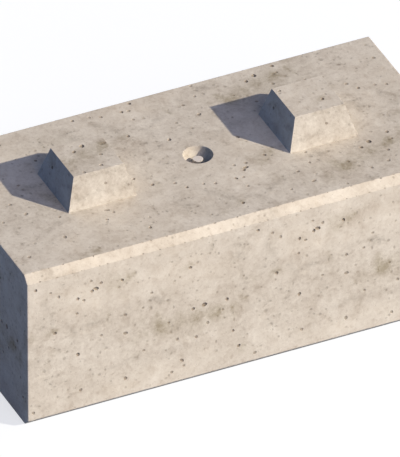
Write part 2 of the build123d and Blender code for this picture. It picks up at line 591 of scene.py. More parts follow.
@dataclass(frozen=True)
class Surface:
    """Points and faces of a surface, worked out as whole arrays."""

    points: np.ndarray
    faces: np.ndarray

    @classmethod
    def joined(cls, parts: list["Surface"]) -> "Surface":
        """Puts surfaces that share no point into one.

        Args:
            parts: The surfaces.

        Returns:
            All of them as one.
        """
        starts = np.cumsum([0] + [len(part.points) for part in parts[:-1]])
        faces = [part.faces + start for part, start in zip(parts, starts)]
        return cls(np.concatenate([part.points for part in parts]), np.concatenate(faces))

    @classmethod
    def blobs(cls, points: np.ndarray, sides: int) -> "Surface":
        """Closes blobs of one make with triangles.

        Args:
            points: For each blob its rings from the outer one in, then its outer tip and
                its inner tip.
            sides: Corners in each ring.

        Returns:
            All blobs as one surface.
        """
        tip = points.shape[1] - 2
        ring, side = np.meshgrid(np.arange(tip // sides - 1), np.arange(sides), indexing="ij")
        a, b = ring * sides + side, ring * sides + (side + 1) % sides
        c, d = a + sides, b + sides
        walls = np.concatenate([np.stack([a, b, c], -1), np.stack([b, d, c], -1)]).reshape(-1, 3)
        side = np.arange(sides)
        after = (side + 1) % sides
        outer = np.stack([after, side, np.full(sides, tip)], -1)
        last = tip - sides
        inner = np.stack([last + side, last + after, np.full(sides, tip + 1)], -1)
        one = np.concatenate([walls, outer, inner])
        every = np.arange(len(points))[:, None, None] * points.shape[1] + one
        return cls(points.reshape(-1, 3), every.reshape(-1, 3))

    def mesh(self, name: str, slot: int = 0) -> bpy.types.Object:
        """Puts the surface into a new object.

        Args:
            name: Name of the object.
            slot: Material slot of its faces.

        Returns:
            The new object, linked to the scene.
        """
        data = bpy.data.meshes.new(name)
        data.vertices.add(len(self.points))
        data.vertices.foreach_set("co", self.points.ravel())
        data.loops.add(self.faces.size)
        data.loops.foreach_set("vertex_index", self.faces.ravel())
        data.polygons.add(len(self.faces))
        starts = np.arange(0, self.faces.size, self.faces.shape[1])
        data.polygons.foreach_set("loop_start", starts)
        data.polygons.foreach_set("material_index", np.full(len(self.faces), slot, np.int32))
        data.update(calc_edges=True)
        return linked(name, data)


def inner_marks(length: float, gap: float, pitch: float) -> np.ndarray:
    """Places that divide a stretch evenly, the first and last a gap away from its ends."""
    gap = min(gap, length / 4)
    return np.linspace(gap, length - gap, math.ceil((length - 2 * gap) / pitch) + 1)


@dataclass(frozen=True)
class CarriedSection:
    """A section that is the same to the left and right, carried along a straight path.

    Attributes:
        half_widths: Half widths of the section, from its lowest row to its highest.
        heights: Heights of those rows above the section's middle.
        columns: Places of the columns across the section, from -1 to 1.
    """

    half_widths: np.ndarray
    heights: np.ndarray
    columns: np.ndarray

    @classmethod
    def rounded(
        cls, half_width: float, half_height: float, cut: float, radius: float, pitch: float
    ) -> "CarriedSection":
        """Makes a rectangle with square or cut corners, all of them rounded.

        The right side runs from the lower flat up to the upper flat: an arc of a few points
        at each corner, and between two arcs a straight stretch divided evenly, with a row
        close to each arc so that the flats stay flat in the light.

        Args:
            half_width: Half the overall width.
            half_height: Half the overall height.
            cut: Leg of the cut at each corner, or zero for square corners.
            radius: Radius of the rounding.
            pitch: Largest distance between rows or columns.

        Returns:
            The section.
        """
        upper = [(half_width, half_height - cut), (half_width - cut, half_height)]
        upper = upper if cut else upper[:1]
        corners = np.array([(wide, -high) for wide, high in reversed(upper)] + upper)
        steps = np.diff(corners, axis=0)
        headings = np.concatenate([[0.0], np.arctan2(steps[:, 1], steps[:, 0]), [np.pi]])
        arcs = []
        for corner, before, after in zip(corners, headings[:-1], headings[1:]):
            heading = np.array([math.cos(before), math.sin(before)])
            start = corner - radius * math.tan((after - before) / 2) * heading
            middle = start + radius * np.array([-heading[1], heading[0]])
            angles = np.linspace(before, after, ARC_POINTS) - np.pi / 2
            arcs.append(middle + radius * np.stack([np.cos(angles), np.sin(angles)], axis=1))
        rows = [arcs[0]]
        for before, after in zip(arcs[:-1], arcs[1:]):
            step = after[0] - before[-1]
            length = np.linalg.norm(step)
            marks = inner_marks(length, radius, pitch) / length
            rows += [before[-1] + step * marks[:, None], after]
        side = np.concatenate(rows)
        flat = 2 * side[0, 0]
        inner = 2 * inner_marks(flat, radius, pitch) / flat - 1
        return cls(side[:, 0], side[:, 1], np.concatenate([[-1.0], inner, [1.0]]))

    def carried(self, stations: np.ndarray, axes: np.ndarray, origin: np.ndarray) -> Surface:
        """Carries the section along a straight path and closes both ends.

        Every point is the origin, plus the path's direction times the station's distance,
        plus the section's own point times the station's two scales. Each end is the grid
        of the section's rows and columns.

        Args:
            stations: Rows of (distance, width scale, height scale).
            axes: Directions of the section's width, its height and the path.
            origin: Point that the distances start from.

        Returns:
            The closed surface.
        """
        wide = self.half_widths[:, None] * self.columns
        high = np.broadcast_to(self.heights[:, None], wide.shape)
        section = np.stack([wide.ravel(), high.ravel()], axis=1)
        index = np.arange(wide.size).reshape(wide.shape)
        rim = np.concatenate([index[0], index[1:, -1], index[-1, -2::-1], index[-2:0:-1, 0]])
        stretched = section[rim] * stations[1:-1, None, 1:]
        tube = stretched @ axes[:2] + (stations[1:-1, :1] * axes[2])[:, None]
        first, last = (
            (section * station[1:]) @ axes[:2] + station[0] * axes[2]
            for station in (stations[0], stations[-1])
        )
        points = origin + np.concatenate([first, tube.reshape(-1, 3), last])
        end = wide.size + len(rim) * len(tube)
        cells = [index[:-1, :-1], index[:-1, 1:], index[1:, 1:], index[1:, :-1]]
        cap = np.stack(cells, axis=-1).reshape(-1, 4)
        rings = wide.size + np.arange(len(rim) * len(tube)).reshape(len(tube), len(rim))
        rings = np.concatenate([rim[None], rings, end + rim[None]])
        ahead = np.roll(rings, -1, axis=1)
        walls = np.stack([rings[:-1], ahead[:-1], ahead[1:], rings[1:]], axis=-1).reshape(-1, 4)
        return Surface(points, np.concatenate([cap[:, ::-1], walls, end + cap]))


@dataclass(frozen=True)
class PoreMaker:
    """Makes the closed blobs that cut the air pores out of a face.

    Attributes:
        pattern: Pores and stains, as they repeat over the faces.
        seed: Start of the random draws.
        edge_gap: Least gap between a pore and the face's edge, as a share of its half width.
        wobble: How much the rim wanders in and out.
        wobble_shares: Least and greatest share of the wobble that a pore gets.
        three_swings: Size of the rim's wave of three swings beside that of two.
        neck: Width at the mouth as a share of the pore's full width.
        first_fall: Depth of the first ring as a share of the pore's depth.
        rise: Height of the ring above the face as such a share.
        tip_rise: Height of the outer tip as such a share.
        depth_spread: Least and greatest share of the usual depth.
    """

    pattern: CastPattern = field(default_factory=CastPattern)
    seed: int = 7
    edge_gap: float = 0.1
    wobble: float = 0.13
    wobble_shares: Span = (0.3, 1.0)
    three_swings: float = 0.6
    neck: float = 0.96
    first_fall: float = 0.12
    rise: float = 0.35
    tip_rise: float = 0.7
    depth_spread: Span = (0.85, 1.15)

    def chosen(self, face: CastFace, grade: Grade) -> np.ndarray:
        """Lists a grade's pores on a face, from all repeats of the pattern.

        Args:
            face: The face that the pores are on.
            grade: The grade to list.

        Returns:
            Rows of the pattern's mouths.
        """
        corners = face.places(face.outline)
        size = np.array([self.pattern.width, self.pattern.height])
        first, last = (np.floor(place / size).astype(int) for place in (corners.min(0), corners.max(0)))
        steps = product(range(first[1], last[1] + 1), range(first[0], last[0] + 1))
        mouths = self.pattern.mouths(grade)
        every = np.concatenate([mouths + (*(size * (column, row)), 0, 0, 0) for row, column in steps])
        points = face.points(every[:, :2])
        reach = (1 + self.edge_gap) * MM * every[:, 2:4].max(axis=1)
        fits = face.margins(points, face.outline) > reach
        for opening in face.openings:
            fits &= face.margins(points, opening) < -reach
        return every[fits]

    def count(self, face: CastFace) -> int:
        """How many pores the pattern lays on a face."""
        return sum(len(self.chosen(face, grade)) for grade in face.grades)

    def cutters(self, face: CastFace, grade: Grade, random: np.random.Generator) -> Surface:
        """Builds one grade's pores on a face as closed blobs.

        Round the mouth the rim is an ellipse times one plus a small wave of two and three
        swings. Down the pore each ring is the rim drawn in along a quarter circle. A ring
        just above the face and a tip over it close the blob outside, and a tip at the
        bottom closes it inside.

        Args:
            face: The face that the pores are cut into.
            grade: The grade to build.
            random: Where the random draws come from.

        Returns:
            All blobs as one surface of triangles.
        """
        rows = self.chosen(face, grade)
        count = len(rows)
        along = face.along / np.linalg.norm(face.along)
        square_to_it = np.cross(along, face.outward)
        angle = np.linspace(0, 2 * np.pi, grade.sides, endpoint=False)
        phase = random.uniform(0, 2 * np.pi, (3, count, 1))
        share = random.uniform(*self.wobble_shares, (2, count, 1))
        wave = share[0] * np.cos(2 * angle + phase[0])
        wave += self.three_swings * share[1] * np.cos(3 * angle + phase[1])
        rim = 1 + self.wobble * wave
        wide = rows[:, 2:3] * rim * np.cos(angle + phase[2])
        high = rows[:, 3:4] * rim * np.sin(angle + phase[2])
        turn = rows[:, 4:5]
        across = MM * (wide * np.cos(turn) - high * np.sin(turn))
        down = MM * (wide * np.sin(turn) + high * np.cos(turn))
        depth = MM * grade.depth_share * (rows[:, 2] + rows[:, 3])
        depth *= random.uniform(*self.depth_spread, count)
        fall = np.linspace(self.first_fall, 1.0, grade.rings + 1)[:-1]
        draw_in = np.concatenate([[self.neck, self.neck], np.sqrt(1 - fall[1:] ** 2)])
        level = np.concatenate([[self.rise], -fall])
        flat = across[..., None] * along + down[..., None] * square_to_it
        middle = face.points(rows[:, :2])[:, None, None]
        rings = middle + flat[:, None] * draw_in[:, None, None]
        rings = rings + (depth[:, None] * level)[..., None, None] * face.outward
        tips = middle[:, 0] + (depth[:, None] * (self.tip_rise, -1.0))[..., None] * face.outward
        rings = rings.reshape(count, len(level) * grade.sides, 3)
        return Surface.blobs(np.concatenate([rings, tips], axis=1), grade.sides)


@dataclass(frozen=True)
class ChipMaker:
    """Makes the closed blobs that chip an arris.

    Attributes:
        pitch: Mean distance between chips.
        spread: Least and greatest place of a chip in its own stretch, as a share of it.
        half_lengths: Least and greatest half length of a chip along the arris.
        half_widths: Least and greatest half width, which is also its depth.
        rings: Rings of corners between a blob's tips.
        sides: Corners in each ring.
    """

    pitch: float = 0.052
    spread: Span = (0.15, 0.85)
    half_lengths: Span = (0.0022, 0.0062)
    half_widths: Span = (0.0016, 0.0036)
    rings: int = 3
    sides: int = 6

    def cutters(
        self, start: np.ndarray, end: np.ndarray, outward: np.ndarray, random: np.random.Generator
    ) -> Surface:
        """Strings chips along an arris.

        Each blob is a ball stretched along the arris. At a polar angle and a turn, its
        point is the middle plus the half length along it, the half width across it and
        the half width outward, times the ball's own coordinates.

        Args:
            start: Start of the arris.
            end: End of the arris.
            outward: Direction halfway between its two faces' outward directions.
            random: Where the random draws come from.

        Returns:
            All blobs as one surface of triangles.
        """
        span = end - start
        length = np.linalg.norm(span)
        count = round(length / self.pitch)
        share = (np.arange(count) + random.uniform(*self.spread, count)) / count
        half_length = random.uniform(*self.half_lengths, count)
        half_width = random.uniform(*self.half_widths, count)
        polar = np.linspace(0, np.pi, self.rings + 2)[1:-1, None]
        angle = np.linspace(0, 2 * np.pi, self.sides, endpoint=False)
        level = np.broadcast_to(np.cos(polar), (self.rings, self.sides))
        ball = [np.sin(polar) * np.cos(angle), np.sin(polar) * np.sin(angle), level]
        ball = np.concatenate([np.stack(ball, axis=-1).reshape(-1, 3), [UP, -UP]])
        axes = np.stack([span / length, np.cross(span / length, outward), outward])
        scale = np.stack([half_length, half_width, half_width], axis=1)
        points = (start + share[:, None] * span)[:, None] + (ball * scale[:, None]) @ axes
        return Surface.blobs(points, self.sides)


@dataclass(frozen=True)
class Noise:
    """Settings of a noise texture: lumps per metre, finer layers, their strength and curl.

    Each of the tones is a reach of its value and the tone that it adds at the ends of it.
    """

    scale: float
    detail: float
    roughness: float
    twist: float = 0.0
    tones: tuple[Ramp, ...] = ()


class NodeSheet:
    """The nodes of a material or a world, added and linked by short calls."""

    def __init__(self, owner: bpy.types.ID, output: str = "OutputMaterial") -> None:
        """Leaves the owner nothing but its output node.

        Args:
            owner: The material or the world.
            output: The output node's type without its common prefix.
        """
        owner.use_nodes = True
        self.owner, self.tree = owner, owner.node_tree
        self.tree.nodes.clear()
        self.output = self.tree.nodes.new("ShaderNode" + output)

    def add(self, kind: str, inputs: dict[str | int, Value], **settings: object) -> bpy.types.Node:
        """Adds a node.

        Args:
            kind: The node's type without its common prefix.
            inputs: A value or another node's socket for each input's name or number.
            settings: The node's own settings.

        Returns:
            The node.
        """
        node = self.tree.nodes.new("ShaderNode" + kind)
        for name, value in settings.items():
            setattr(node, name, value)
        for name, value in inputs.items():
            socket = node.inputs[name]
            if isinstance(value, Socket):
                self.tree.links.new(value, socket)
            else:
                socket.default_value = (*value, 1.0) if socket.type == "RGBA" else value
        return node

    def noise(self, vector: Socket, noise: Noise) -> Socket:
        """Adds a noise texture and gives its value."""
        settings = dict(zip(("Scale", "Detail", "Roughness", "Distortion"), astuple(noise)))
        return self.add("TexNoise", {"Vector": vector} | settings).outputs["Fac"]

    def span(self, value: Value, reach: Span, result: Span) -> Socket:
        """Maps a value's reach onto a result's, held at both ends."""
        inputs = dict(enumerate((value, *reach, *result)))
        return self.add("MapRange", inputs).outputs[0]

    def maths(self, operation: str, first: Value, second: Value) -> Socket:
        """Works out one step of maths on two values."""
        return self.add("Math", {0: first, 1: second}, operation=operation).outputs[0]

    def scaled(self, colour: Value, factor: Value) -> Socket:
        """Scales a colour by a value."""
        return self.add("VectorMath", {0: colour, "Scale": factor}, operation="SCALE").outputs[0]

    def mix(self, factor: Value, first: Value, second: Value, blend: str = "MIX") -> Socket:
        """Mixes two colours by a factor."""
        inputs = {0: factor, 6: first, 7: second}
        return self.add("Mix", inputs, data_type="RGBA", blend_type=blend).outputs[2]

    def tinted(self, amount: Value, colour: Value, tint: Colour) -> Socket:
        """Multiplies a colour by a tint, as far as an amount from 0 to 1 says."""
        return self.mix(amount, colour, self.mix(1.0, colour, tint, "MULTIPLY"))

    def bump(self, height: Value, strength: float, distance: float) -> Socket:
        """Turns a height into a bumpy normal."""
        inputs = {"Height": height, "Strength": strength, "Distance": distance}
        return self.add("Bump", inputs).outputs["Normal"]

    def seen_directly(self) -> Socket:
        """Tells apart the rays that see the stage from those that light the object.

        Returns:
            A value that is one for camera, glossy and transmission rays.
        """
        path = self.add("LightPath", {}).outputs
        both = self.maths("MAXIMUM", path["Is Camera Ray"], path["Is Glossy Ray"])
        return self.maths("MAXIMUM", both, path["Is Transmission Ray"])

    def finish(self, shader: bpy.types.Node) -> bpy.types.ID:
        """Links the last shader to the output and gives the material or world."""
        self.tree.links.new(shader.outputs[0], self.output.inputs["Surface"])
        return self.owner


@dataclass(frozen=True)
class ConcreteFinish:
    """Mould-cast concrete: mottled, dusty matt, with stains, painted shade and light, and dirt and
    painted shade in its pores.

    Attributes:
        marks: Name of the attribute with olive, grey and pale amounts in its colour, which are stains
            and also painted shade and light, and pore dirt and painted shade in its alpha.
        skin: Name of the attribute with the amount of bluish painted shade.
        base: Clean colour. The colours from olive to dirt are what it is multiplied by. The fourth is
            the tint of painted shade, and the last darkens pores with dirt and painted shade.
        tone_hue: How strongly a change of tone acts on red, green and blue.
        middle_tone: Tone to which the noises from blotch to grain add theirs.
        stain_breaks: What stains are multiplied by at a low and a high sum of cloud and fleck.
        pinhole_scale: Cells per metre. Those with numbers in pinhole_cells hold a pinhole.
        pinhole_size: Radius of the largest pinhole as a share of its cell.
        pinhole_rim: Width of a pinhole's slope as a share of its cell.
        pinhole_tone: What a pinhole multiplies the colour by.
        rises: Shares of grain and fleck in the relief.
        bump: Strength and height of the relief.
        roughness: Roughness at a low and a high fleck.
    """

    marks: str = "cast_marks"
    skin: str = "dense_skin"
    base: Colour = (0.667, 0.600, 0.520)
    tone_hue: Colour = (0.87, 1.0, 1.12)
    olive: Colour = (0.67, 0.645, 0.575)
    grey: Colour = (0.615, 0.607, 0.595)
    pale: Colour = (1.22, 1.22, 1.20)
    # Bluish tint of the painted shade, then the pores' dirt and painted shade.
    painted_shade: Colour = (0.50, 0.635, 0.83)
    dirt_and_shade: Colour = (0.255, 0.21, 0.16)
    blotch: Noise = Noise(7.0, 2.0, 0.6, 0.4, (((0.3, 0.7), (-0.07, 0.07)),))
    cloud: Noise = Noise(
        24.0, 2.0, 0.7, 0.5, (((0.25, 0.75), (-0.12, 0.12)), ((0.2, 0.45), (-0.08, 0.0)))
    )
    fleck: Noise = Noise(
        85.0, 2.0, 0.7, 0.6, (((0.25, 0.75), (-0.095, 0.095)), ((0.2, 0.42), (-0.12, 0.0)))
    )
    grain: Noise = Noise(330.0, 2.0, 0.6, 0.0, (((0.25, 0.75), (-0.035, 0.035)),))
    middle_tone: float = 0.02
    stain_breaks: Ramp = ((0.65, 1.35), (1.5, 0.5))
    pinhole_scale: float = 120.0
    pinhole_cells: Span = (0.55, 1.0)
    pinhole_size: float = 0.2
    pinhole_rim: float = 0.05
    pinhole_tone: float = 0.7
    rises: Span = (0.35, 0.65)
    bump: Span = (0.5, 0.0012)
    roughness: Ramp = ((0.3, 0.7), (0.84, 0.94))
    specular: float = 0.3

    def material(self) -> bpy.types.Material:
        """Builds the concrete's nodes.

        Returns:
            The material.
        """
        sheet = NodeSheet(bpy.data.materials.new("cast_concrete"))
        place = sheet.add("TexCoord", {}).outputs["Object"]
        noises = (self.blotch, self.cloud, self.fleck, self.grain)
        values = [sheet.noise(place, noise) for noise in noises]
        tone = self.middle_tone
        for noise, value in zip(noises, values):
            for reach, change in noise.tones:
                tone = sheet.maths("ADD", tone, sheet.span(value, reach, change))
        cloud, fleck, grain = values[1:]
        inputs = {0: tone, 1: self.tone_hue, 2: (1.0, 1.0, 1.0)}
        change = sheet.add("VectorMath", inputs, operation="MULTIPLY_ADD").outputs["Vector"]
        colour = sheet.mix(1.0, self.base, change, "MULTIPLY")
        marks = sheet.add("Attribute", {}, attribute_name=self.marks).outputs
        stain = sheet.add("SeparateColor", {"Color": marks["Color"]}).outputs
        breaks = sheet.span(sheet.maths("ADD", cloud, fleck), *self.stain_breaks)
        # The grey and pale amounts hold painted shade and painted light besides the stains.
        for tint, multiplier in zip(Tint, (self.olive, self.grey, self.pale)):
            amount = sheet.maths("MULTIPLY", stain[tint.value], breaks)
            colour = sheet.tinted(amount, colour, multiplier)
        # Painted shade: a bluish darkening by the amount in its own attribute.
        skin = sheet.add("Attribute", {}, attribute_name=self.skin).outputs["Fac"]
        colour = sheet.tinted(skin, colour, self.painted_shade)
        cells = sheet.add("TexVoronoi", {"Vector": place, "Scale": self.pinhole_scale}).outputs
        number = sheet.add("SeparateColor", {"Color": cells["Color"]}).outputs["Red"]
        size = sheet.span(number, self.pinhole_cells, (0.0, self.pinhole_size))
        inside = sheet.maths("SUBTRACT", size, cells["Distance"])
        hole = sheet.span(inside, (0.0, self.pinhole_rim), (0.0, 1.0))
        colour = sheet.scaled(colour, sheet.span(hole, (0.0, 1.0), (1.0, self.pinhole_tone)))
        # Pores are darkened with dirt and painted shade.
        colour = sheet.tinted(marks["Alpha"], colour, self.dirt_and_shade)
        rises = [sheet.maths("MULTIPLY", *pair) for pair in zip((grain, fleck), self.rises)]
        height = sheet.maths("SUBTRACT", sheet.maths("ADD", *rises), hole)
        inputs = {
            "Base Color": colour,
            "Roughness": sheet.span(fleck, *self.roughness),
            "Normal": sheet.bump(height, *self.bump),
            "Specular IOR Level": self.specular,
        }
        return sheet.finish(sheet.add("BsdfPrincipled", inputs))


@dataclass(frozen=True)
class AnchorFinish:
    """Bare forged steel, dulled by a film of cement dust.

    The cover is how much dust the film's low and high values lay on. The tones are what
    the forged scale's low and high values multiply the colour by. The side tones are
    painted shade: steep and flat places multiply the colour by them, which dims the
    head's sunlit rim. Metallic and roughness are those of bare and of dusty steel.
    """

    steel: Colour = (0.60, 0.57, 0.54)
    dust: Colour = (0.71, 0.635, 0.595)
    film: Noise = Noise(160.0, 5.0, 0.65)
    scale: Noise = Noise(900.0, 3.0, 0.6)
    cover: Ramp = ((0.35, 0.62), (0.25, 0.95))
    scale_tones: Ramp = ((0.3, 0.7), (0.88, 1.08))
    side_painted_shade: Ramp = ((0.75, 0.98), (0.7, 1.0))
    metallic: Span = (1.0, 0.25)
    roughness: Span = (0.42, 0.8)
    bump: Span = (0.4, 0.0003)

    def material(self) -> bpy.types.Material:
        """Builds the steel's nodes.

        Returns:
            The material.
        """
        sheet = NodeSheet(bpy.data.materials.new("anchor_steel"))
        place = sheet.add("TexCoord", {}).outputs
        film = sheet.span(sheet.noise(place["Object"], self.film), *self.cover)
        scale = sheet.noise(place["Object"], self.scale)
        facing = sheet.add("SeparateXYZ", {0: place["Normal"]}).outputs["Z"]
        colour = sheet.mix(film, self.steel, self.dust)
        colour = sheet.scaled(colour, sheet.span(scale, *self.scale_tones))
        # Painted shade: steep places are darker than flat ones.
        colour = sheet.scaled(colour, sheet.span(facing, *self.side_painted_shade))
        inputs = {
            "Base Color": colour,
            "Metallic": sheet.span(film, (0.0, 1.0), self.metallic),
            "Roughness": sheet.span(film, (0.0, 1.0), self.roughness),
            "Normal": sheet.bump(sheet.maths("ADD", film, scale), *self.bump),
        }
        return sheet.finish(sheet.add("BsdfPrincipled", inputs))


@dataclass(frozen=True)
class BowlPaintedShade:
    """Painted shade on the bowl's shaded side: a grey and bluish darkening.

    Attributes:
        slot: Material slot that marks the bowl's faces until they are painted.
        lee: Level direction from the bowl's middle to its shaded side.
        fade: Width of the band in which the painted shade grows.
        middle: How strong the painted shade is in the bowl's middle. The sunlit side has the least.
        grey: How grey the strongest painted shade is.
    """

    slot: int = len(Grade) + 1
    lee: Span = (0.755, -0.656)
    fade: float = 0.030
    middle: float = 0.45
    least: float = 0.12
    grey: float = 0.6

    def density(self, points: np.ndarray) -> np.ndarray:
        """How strong the painted shade is at points in the bowl, from 0 to 1."""
        return np.clip(points[:, :2] @ self.lee / self.fade + self.middle, self.least, 1)


def read(items: bpy.types.bpy_prop_collection, name: str, width: int = 0) -> np.ndarray:
    """Reads one property of every item in a collection.

    Args:
        items: The collection.
        name: Name of the property.
        width: How many floats it has, or zero if it is a whole number.

    Returns:
        A row or a number for each item.
    """
    size, kind = ((len(items), width), np.float32) if width else (len(items), np.int32)
    values = np.zeros(size, kind)
    items.foreach_get(name, values.ravel())
    return values


@dataclass
class ConcreteBlock:
    """The casting: a chamfered bar with studs, sockets, the anchor's bowl and its pores.

    Attributes:
        sizes: The block's sizes.
        pitch: Largest distance between points on the flat faces.
        sunk: How far a pyramid runs on past its wide end.
        lip_rings: The bowl's last rings in lip radii: out from its mouth, up from the top.
        face_reach: Farthest that the mesh of a flat face lies from its plane.
        face_slack: Farthest that it lies outside its outline.
        full_dirt_and_shade: Share of a pore's usual depth at which its dirt and painted shade are full.
        rim_dirt_and_shade: Dirt and painted shade at a pore's rim as a share of the full amount.
        smooth: Greatest angle between faces that are shaded as one, in degrees.
    """

    sizes: BlockSizes
    pores: PoreMaker = field(default_factory=PoreMaker)
    chips: ChipMaker = field(default_factory=ChipMaker)
    finish: ConcreteFinish = field(default_factory=ConcreteFinish)
    bowl_painted_shade: BowlPaintedShade = field(default_factory=BowlPaintedShade)
    pitch: float = 0.0125
    sunk: float = 0.02
    shoulder_rings: int = 5
    lip_rings: tuple[Span, ...] = ((0.3, -0.3), (1.0, 0.1), (1.0, 4.0))
    bowl_sides: int = 72
    bowl_rings: int = 14
    face_reach: float = 0.014
    face_slack: float = 0.002
    full_dirt_and_shade: float = 0.6
    rim_dirt_and_shade: float = 0.2
    smooth: float = 25.0

    def body(self) -> Surface:
        """The bar: a rectangle with cut corners, carried along the length.

        Returns:
            A closed surface whose end arrises are rounded by rings drawn in.
        """
        sizes = self.sizes
        half_length, radius = sizes.length / 2, sizes.arris_radius
        half_width, half_height = sizes.width / 2, sizes.body_height / 2
        section = CarriedSection.rounded(
            half_width, half_height, sizes.long_edge_chamfer, radius, self.pitch
        )
        angles = np.linspace(0, np.pi / 2, ARC_POINTS)
        inset = 1 - np.sin(angles)
        start = radius * np.stack([1 - np.cos(angles), inset, inset], axis=1)
        marks = radius + inner_marks(2 * (half_length - radius), radius, self.pitch)
        middle = np.stack([marks, 0 * marks, 0 * marks], axis=1)
        finish = (start * (-1, 1, 1) + (2 * half_length, 0, 0))[::-1]
        stations = np.concatenate([start, middle, finish])
        stations[:, 1:] = 1 - stations[:, 1:] / (half_width, half_height)
        return section.carried(
            stations, np.stack([BACK, UP, RIGHT]), np.array([-half_length, 0, half_height])
        )

    def pyramid(self, middle: float, room: float, low: float, high: float) -> Surface:
        """A square pyramid cut off flat, carried straight up.

        Each ring is the wide square drawn in evenly with height. A stretch of the same
        slope below the wide end lets it run into or out of the bar.

        Args:
            middle: Place of its middle along the block.
            room: How much wider than a stud it is at each side.
            low: Height of its wide end.
            high: Height of its narrow end.

        Returns:
            A closed surface with a rounded narrow end.
        """
        radius = self.sizes.stud_edge_radius
        base, narrow = self.sizes.stud_base_side + 2 * room, self.sizes.stud_top_side + 2 * room
        section = CarriedSection.rounded(base / 2, base / 2, 0.0, radius, self.pitch)
        lean = (base - narrow) / 2 / (high - low)
        marks = low + inner_marks(high - low - radius, radius, self.pitch)
        angles = np.linspace(0, np.pi / 2, self.shoulder_rings)
        shoulder = high - radius + radius * np.sin(angles)
        heights = np.concatenate([[low - self.sunk, low], marks, shoulder])
        side = base / 2 - lean * (heights - low)
        side[-self.shoulder_rings:] -= radius * (1 - np.cos(angles))
        stations = np.stack([heights, side / (base / 2), side / (base / 2)], axis=1)
        return section.carried(stations, np.eye(3), np.array([middle, 0, 0]))

    def bowl(self) -> Surface:
        """The recess round the anchor's head: a turned profile.

        Up from the bottom the profile is a ball's arc, then a small arc that flares out
        over the lip, and last a straight run above the top face.

        Returns:
            A closed surface with a pole at each end.
        """
        sizes, sides, top = self.sizes, self.bowl_sides, self.sizes.body_height
        mouth, depth, lip = sizes.bowl_mouth_diameter / 2, sizes.bowl_depth, sizes.bowl_lip_radius
        ball = (mouth**2 + depth**2) / (2 * depth)
        centre = top - depth + ball
        angles = np.linspace(0, math.acos((ball - depth + lip) / ball), self.bowl_rings)[1:]
        out, up = lip * np.array(self.lip_rings).T
        radii = np.concatenate([ball * np.sin(angles), mouth + out])
        heights = np.concatenate([centre - ball * np.cos(angles), top + up])
        turn = np.linspace(0, 2 * np.pi, sides, endpoint=False)
        ring = np.stack([np.cos(turn), np.sin(turn), np.zeros(sides)], axis=1)
        walls = radii[:, None, None] * ring + heights[:, None, None] * UP
        poles = np.array([(0, 0, centre - ball), (0, 0, heights[-1])])
        index = np.arange(len(radii) * sides).reshape(-1, sides)
        ahead = np.roll(index, -1, axis=1)
        a, b, c, d = index[:-1], ahead[:-1], ahead[1:], index[1:]
        strip = np.concatenate([np.stack([a, b, c], -1), np.stack([a, c, d], -1)]).reshape(-1, 3)
        low = np.stack([ahead[0], index[0], np.full(sides, index.size)], -1)
        high = np.stack([index[-1], ahead[-1], np.full(sides, index.size + 1)], -1)
        return Surface(np.concatenate([walls.reshape(-1, 3), poles]), np.concatenate([strip, low, high]))

    def cut(self, base: bpy.types.Object, tools: list[tuple[bpy.types.Object, str]]) -> bpy.types.Mesh:
        """Joins pieces to a closed mesh, or cuts them out of it.

        Args:
            base: The object to start from.
            tools: Each other object, with the word UNION or DIFFERENCE.

        Returns:
            The new mesh. All the objects are removed.
        """
        for tool, operation in tools:
            step = base.modifiers.new(tool.name, "BOOLEAN")
            step.object, step.operation = tool, operation
            step.solver, step.material_mode = "MANIFOLD", "INDEX"
        depsgraph = bpy.context.evaluated_depsgraph_get()
        result = bpy.data.meshes.new_from_object(base.evaluated_get(depsgraph))
        for used in [base] + [tool for tool, _ in tools]:
            spent = used.data
            bpy.data.objects.remove(used)
            bpy.data.meshes.remove(spent)
        return result

    def paint(self, mesh: bpy.types.Mesh, faces: list[CastFace]) -> None:
        """Writes the stains, the painted shade and light, and the pores' dirt and painted shade into the
        mesh's attributes.

        A mesh face belongs to the flat face whose plane it lies nearest to, among those
        whose outline it lies in. Its corners take the stain amounts of their places on
        that face's pattern, plus the face's own amounts, which are painted shade on the studs'
        sides and painted light on the upper front chamfer. Its dirt and painted shade come
        from the slot of the pore that it is in, and grow from the pore's rim down to its floor.
        The bowl's faces get painted shade on its shaded side.

        Args:
            mesh: The finished casting.
            faces: The flat faces.
        """
        middles = read(mesh.polygons, "center", 3)
        nearest = np.full(len(middles), self.face_reach)
        owner = np.full(len(middles), -1)
        for number, face in enumerate(faces):
            gap = np.abs(face.heights(middles))
            better = gap < nearest
            better[better] = face.margins(middles[better], face.outline) > -self.face_slack
            nearest[better], owner[better] = gap[better], number
        dirt_and_shade = np.array([0.0] + [grade.dirt_and_shade for grade in Grade] + [0.0])
        depth = np.array([1.0] + [grade.usual_depth for grade in Grade] + [1.0])
        spots = read(mesh.vertices, "co", 3)[read(mesh.loops, "vertex_index")]
        marks, skin = np.zeros((len(spots), 4), np.float32), np.zeros(len(spots), np.float32)
        sides = read(mesh.polygons, "loop_total")
        owners, slots = np.repeat(owner, sides), np.repeat(read(mesh.polygons, "material_index"), sides)
        for number, face in enumerate(faces):
            mine = owners == number
            points, slot = spots[mine], slots[mine]
            # The face's own amounts are painted shade on the studs' sides and painted light on the upper
            # front chamfer.
            marks[mine, :3] = self.pores.pattern.stain_amounts(face.places(points)) + face.skin
            # Pore dirt and painted shade grow darker from rim to floor.
            sunk = np.clip(-face.heights(points) / depth[slot] / self.full_dirt_and_shade, 0, 1)
            marks[mine, 3] = dirt_and_shade[slot] * (self.rim_dirt_and_shade + (1 - self.rim_dirt_and_shade) * sunk)
            skin[mine] = face.painted_shade
